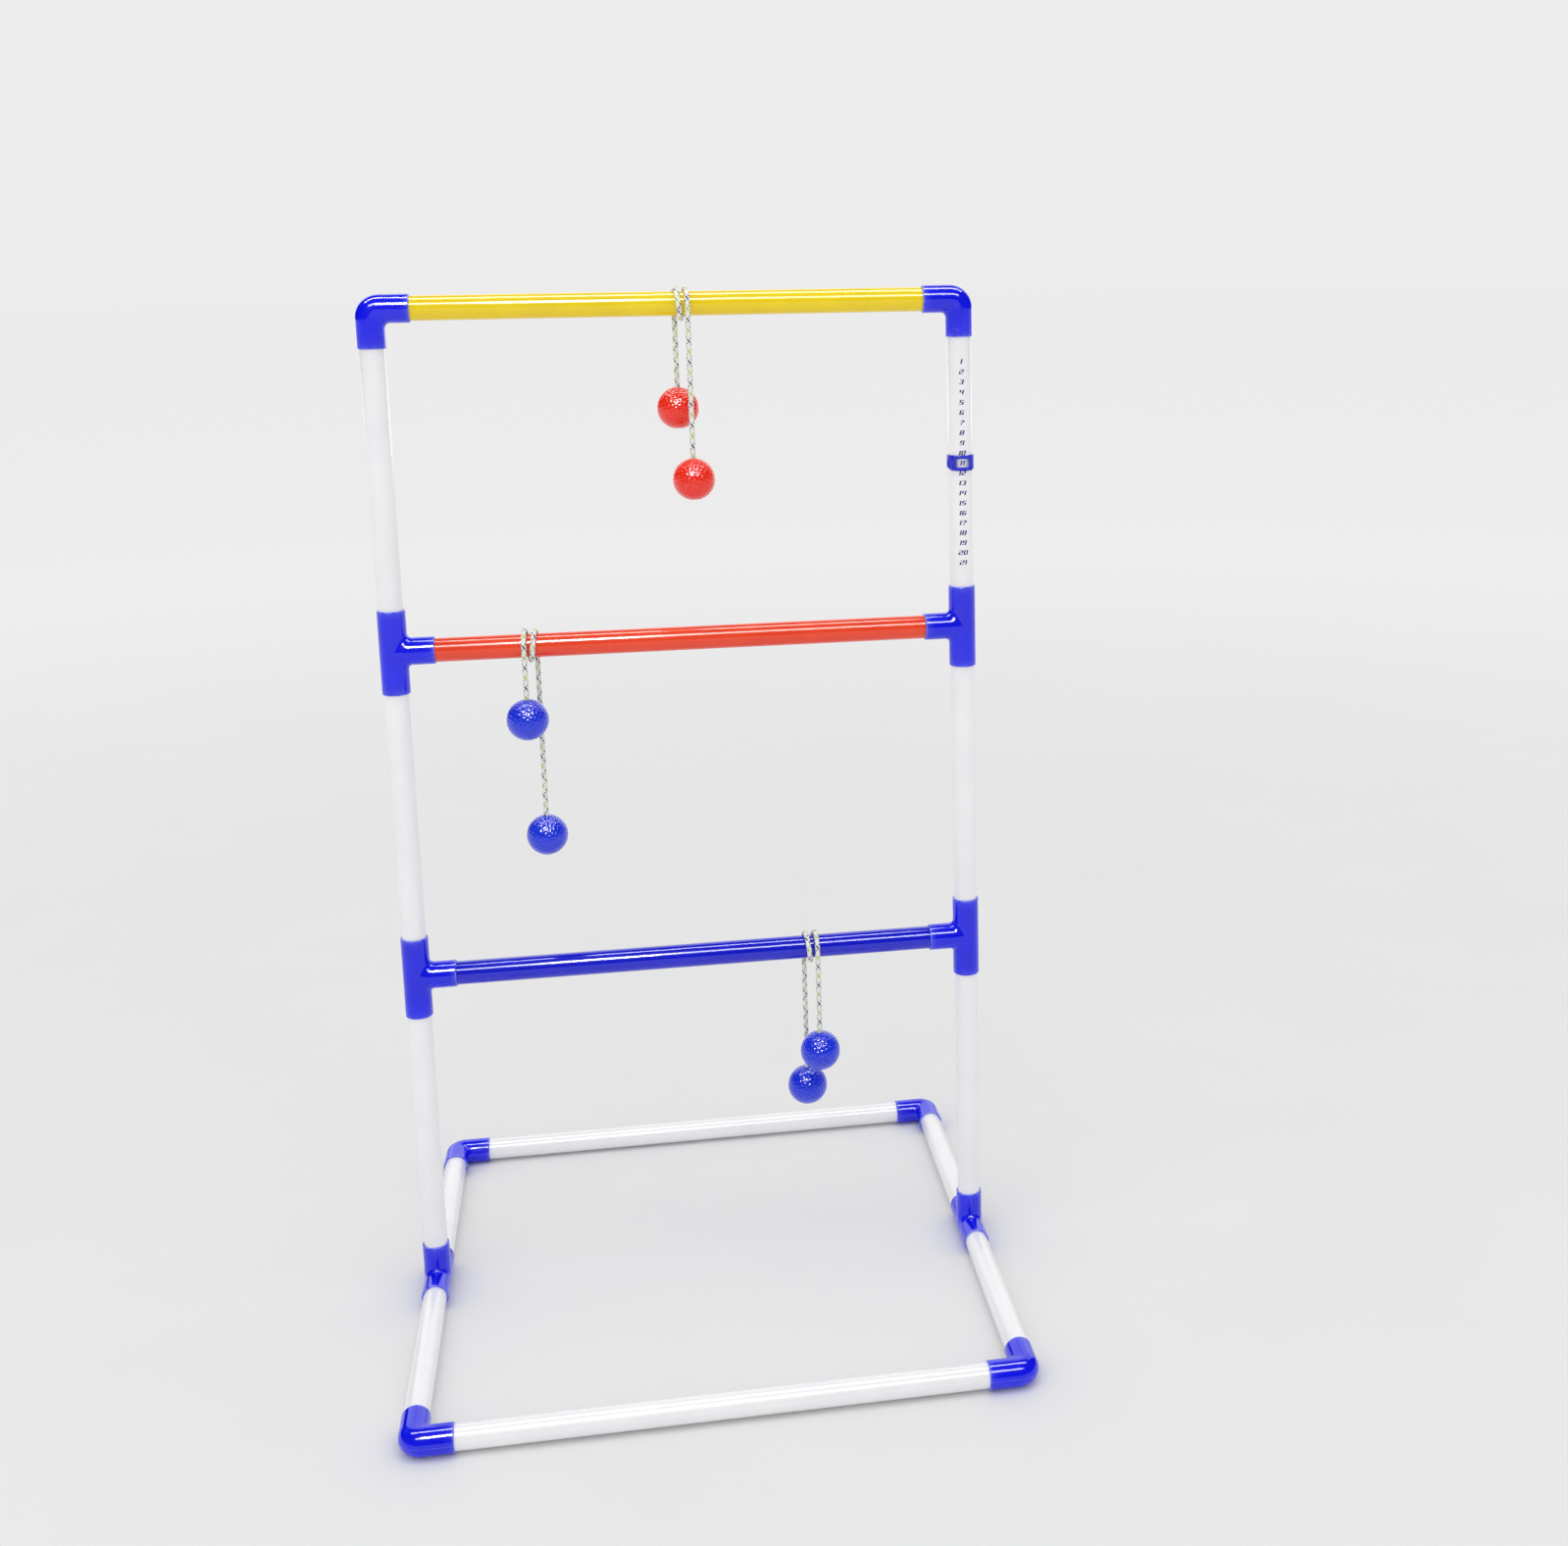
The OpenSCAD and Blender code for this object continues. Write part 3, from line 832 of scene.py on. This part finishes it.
def geodesic(count, r):
    """Points and triangles of an icosahedron whose edges are split into count, on a sphere."""
    work = bmesh.new()
    bmesh.ops.create_icosphere(work, subdivisions=1, radius=1)
    corners = np.array([v.co for v in work.verts])
    sides = [[v.index for v in f.verts] for f in work.faces]
    work.free()
    grid = [(i, j) for i in range(count + 1) for j in range(count + 1 - i)]
    seat = {ij: k for k, ij in enumerate(grid)}
    weights = np.array([(count - i - j, i, j) for i, j in grid]) / count
    small = [(seat[i, j], seat[i + 1, j], seat[i, j + 1]) for i, j in grid if i + j < count]
    small += [(seat[i + 1, j], seat[i + 1, j + 1], seat[i, j + 1]) for i, j in grid if i + j < count - 1]
    points = np.concatenate([weights @ corners[side] for side in sides])
    faces = np.concatenate([np.array(small) + k * len(grid) for k in range(len(sides))])
    _, first, same = np.unique(np.round(points, 6), axis=0, return_index=True, return_inverse=True)
    return unit(points[first]) * r, same.ravel()[faces]


def ball_tree():
    """Sinks a round dimple into a sphere at each of a set of points."""
    pen, given = new_tree("dimpled_ball", Ball="Geometry", Centres="Object", Dimple_Radius="Float",
                          Dimple_Depth="Float", Material="Material")
    centres = pen.node("GeometryNodeObjectInfo", {}, {"Object": given["Centres"]}, out=4)
    near = pen.node("GeometryNodeProximity", {"target_element": "POINTS"}, {0: centres}, out=1)
    spot = pen.node("GeometryNodeInputPosition")
    reach = pen.maths("DIVIDE", near, given["Dimple_Radius"])
    bowl = (1 - reach * reach).between(0.0, 1.35)
    sunk = pen.node("ShaderNodeVectorMath", {"operation": "SCALE"}, {
        0: pen.node("ShaderNodeVectorMath", {"operation": "NORMALIZE"}, {0: spot}),
        "Scale": bowl * given["Dimple_Depth"] * -1.6})
    dented = pen.node("GeometryNodeSetPosition", {}, {"Geometry": given["Ball"], "Offset": sunk})
    marked = pen.node("GeometryNodeStoreNamedAttribute", {"data_type": "FLOAT", "domain": "POINT"}, {
        "Geometry": dented, "Name": "dimple", "Value": bowl})
    end_tree(pen.node("GeometryNodeSetShadeSmooth", {}, {"Geometry": marked}), given["Material"])
    return pen.tree


def ball_material(name, colour, dimple_shade_colour):
    """Painted and lacquered, with painted shade that makes the dimples darker, and rubbed, paler ridges
    between them.
    """
    material, pen, shader = new_material(
        name, 0.16, Coat_Weight=0.9, Coat_Roughness=0.06, Specular_IOR_Level=0.3)
    places = pen.node("ShaderNodeTexCoord", out=3)
    bowl = pen.node("ShaderNodeAttribute", {"attribute_name": "dimple"}, out=2)
    scrape = pen.noise(places, 260, 5).between(0.62, 0.74) * (1 - bowl)
    # Painted shade: the colour is darker down in the dimples.
    paint_with_dimple_shade = bowl.between(0, 0.8).tint((*colour, 1), (*dimple_shade_colour, 1))
    plug(shader, "Base Color", (scrape * 0.12).tint(paint_with_dimple_shade, (0.75, 0.72, 0.70, 1)))
    plug(shader, "Roughness", 0.15 + 0.06 * pen.noise(places, 200, 3) + scrape * 0.3)
    add_bump(pen, shader, pen.noise(places, 900, 2), 0.08, 0.02 * MM)
    return material


# The second colour of each ball is its painted shade in the dimples.
ball_finish = {
    "ball_red": ball_material("red_ball", (0.92, 0.020, 0.004), (0.80, 0.014, 0.003)),
    "ball_blue": ball_material("blue_ball", (0.004, 0.030, 0.74), (0.003, 0.022, 0.62)),
}
ball_slots = {"top": "ball_red", "middle": "ball_blue", "bottom": "ball_blue"}
centres, _ = geodesic(dimple_count, ball_r)
marks = add_piece("dimple_centres", centres, [], None)
points, faces = geodesic(ball_mesh_count, ball_r)
blank = add_piece("blank", points, faces.tolist(), None).data
bpy.data.objects.remove(bpy.data.objects["blank"])
drilled = place_mesh("drilled", grown(
    ball_tree(), "golf_ball", blank, Centres=marks, Dimple_Radius=dimple_r, Dimple_Depth=dimple_depth,
    Material=ball_finish["ball_red"]), Matrix.Rotation(0.4, 4, (1, 0.6, 0.3)))
pocket_top = -ball_r + pocket_h
drill_end = 1.1 * ball_r
carve(drilled, lathe("drill", [
    (0, -drill_end), (pocket_r + mouth_round, -drill_end), (pocket_r + mouth_round, -ball_r + 0.9 * MM),
    (pocket_r, -ball_r + 1.4 * MM), (pocket_r, pocket_top), (bore_r, pocket_top),
    (bore_r, ball_r - 0.7 * MM), (bore_r + mouth_round, ball_r - 0.2 * MM),
    (bore_r + mouth_round, drill_end), (0, drill_end)], drill_sides), "DIFFERENCE")
drilled.data.set_sharp_from_angle(angle=math.radians(50))
ball_shape = drilled.data
bpy.data.objects.remove(drilled)
bpy.data.objects.remove(marks)
for name in bolas:
    for end, (x, y, drop) in strand_ends(name).items():
        spin = Matrix.Rotation(x * 90 + drop * 40, 4, "Z")
        middle = Matrix.Translation((x, y, rung_z[name] - drop))
        ball = place_mesh(f"{name}_{end}_golf_ball", ball_shape.copy(), middle @ spin)
        ball.data.materials.clear()
        ball.data.materials.append(ball_finish[ball_slots[name]])
        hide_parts(f"{name}_bola_{end}_ball")
        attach(ball, f"{name}_bola")


# ------------------------------------------------------------ stopper knots
# Under each ball the rope is pulled up into an overhand knot that sits in the ball's pocket.
# It is the same cord drawn tight, so it is thinner there, with its end melted round.
knot_cord_r = 1.7 * MM
knot_scale = 0.9 * MM
knot_pitch = 13 * MM
knot_h = 9 * MM
knot_ring_points = 32
knot_relief = 0.3 * MM
for name in bolas:
    for end, (x, y, drop) in strand_ends(name).items():
        t = np.linspace(0.22, 2 * math.pi - 0.10, 90)
        loop = knot_scale * np.column_stack([
            np.sin(t) + 2 * np.sin(2 * t), np.cos(t) - 2 * np.cos(2 * t), -1.7 * np.sin(3 * t)])
        loop += (x, y, rung_z[name] - drop + pocket_top - knot_h / 2)
        knot = braided_tube(f"{name}_{end}_knot", loop, knot_cord_r, cord_finish, knot_pitch,
                            knot_ring_points, knot_relief)
        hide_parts(f"{name}_bola_{end}_knot")
        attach(knot, f"{name}_bola")


# ------------------------------------------------------- floor and lights
# A wide, pale, matt studio floor that lightens away from the frame until it meets the light
# all round it without a line. Two long strips show only as reflections, the pair of thin
# highlights along every rung, and so do a square box, for the balls, and a large card behind.
floor_r = 60.0
floor_sides = 64
paper, pen, shader = new_material("white_paper", 0.9, Specular_IOR_Level=0.0)
places = pen.node("ShaderNodeTexCoord", out=3)
away = pen.node("ShaderNodeVectorMath", {"operation": "LENGTH"}, {0: places}, out=1).between(0.4, 5.5)
near_tone = pen.noise(places, 3, 2).between(0.2, 0.8).tint((0.795, 0.80, 0.805, 1), (0.815, 0.815, 0.815, 1))
plug(shader, "Base Color", away.tint(near_tone, (0.99, 0.99, 0.99, 1)))
rim_angles = np.arange(floor_sides) * 2 * math.pi / floor_sides
rim = [(floor_r * math.cos(a), floor_r * math.sin(a), 0) for a in rim_angles]
add_piece("floor", rim, [tuple(range(len(rim)))], paper)

world = bpy.data.worlds.new("studio")
world.use_nodes = True
world.node_tree.nodes["Background"].inputs["Color"].default_value = (1, 1, 1, 1)
world.node_tree.nodes["Background"].inputs["Strength"].default_value = 0.84
bpy.context.scene.world = world
world.cycles_visibility.glossy = False


def add_light(name, place, aim, size, power, diffuse=True, glossy=True):
    """A rectangular softbox, size across and deep, turned towards aim."""
    data = bpy.data.lights.new(name, "AREA")
    data.shape = "RECTANGLE"
    data.size, data.size_y = size
    data.energy = power
    lamp = bpy.data.objects.new(name, data)
    lamp.location = place
    lamp.rotation_euler = (Vector(aim) - Vector(place)).to_track_quat("-Z", "Y").to_euler()
    lamp.visible_diffuse = diffuse
    lamp.visible_glossy = glossy
    bpy.context.scene.collection.objects.link(lamp)


add_light("front_strip", (0, -2.9, 3.6), (0, 0, 0.7), (5.0, 0.8), 210, diffuse=False)
add_light("top_strip", (0, 0.3, 3.4), (0, 0, 0.7), (5.0, 0.5), 130, diffuse=False)
add_light("square_box", (-0.5, -2.5, 3.1), (0, 0, 0.7), (0.7, 0.7), 100, diffuse=False)
add_light("back_card", (0.8, 4.6, 2.7), (0, 0, 0.8), (9.0, 5.0), 170, diffuse=False)
add_light("overhead", (0, -0.6, 3.8), (0, 0, 0.5), (3.0, 2.0), 22, glossy=False)
add_light("key", (-1.6, -3.4, 2.4), (0, 0, 0.5), (2.4, 1.6), 16, glossy=False)
bpy.context.scene.view_settings.view_transform = "Standard"
